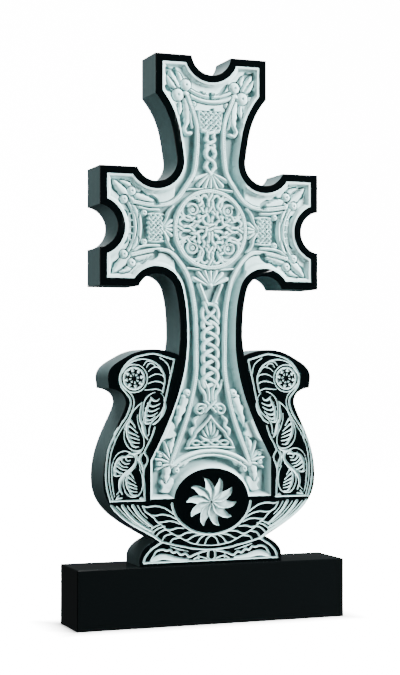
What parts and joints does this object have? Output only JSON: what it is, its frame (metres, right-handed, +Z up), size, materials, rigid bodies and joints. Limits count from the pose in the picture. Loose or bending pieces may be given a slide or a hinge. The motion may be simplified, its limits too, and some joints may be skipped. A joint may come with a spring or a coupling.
{
  "type": "cross headstone",
  "caption": "Upright carved stone cross with notched arms, a winged bowl-shaped body and a half-round foot, standing on a plain rectangular plinth.",
  "frame": {"origin": "middle of the plinth's underside", "axes": "+Z up, the carved front faces -Y, +X is to the right as seen from the front"},
  "size_m": [0.67, 0.14, 1.3403],
  "materials": {
    "carved_stone": "carved, matte",
    "polished_stone": "polished"
  },
  "bodies": {
    "root": {"stele": "carved_stone", "plinth": "polished_stone"}
  },
  "joints": []
}
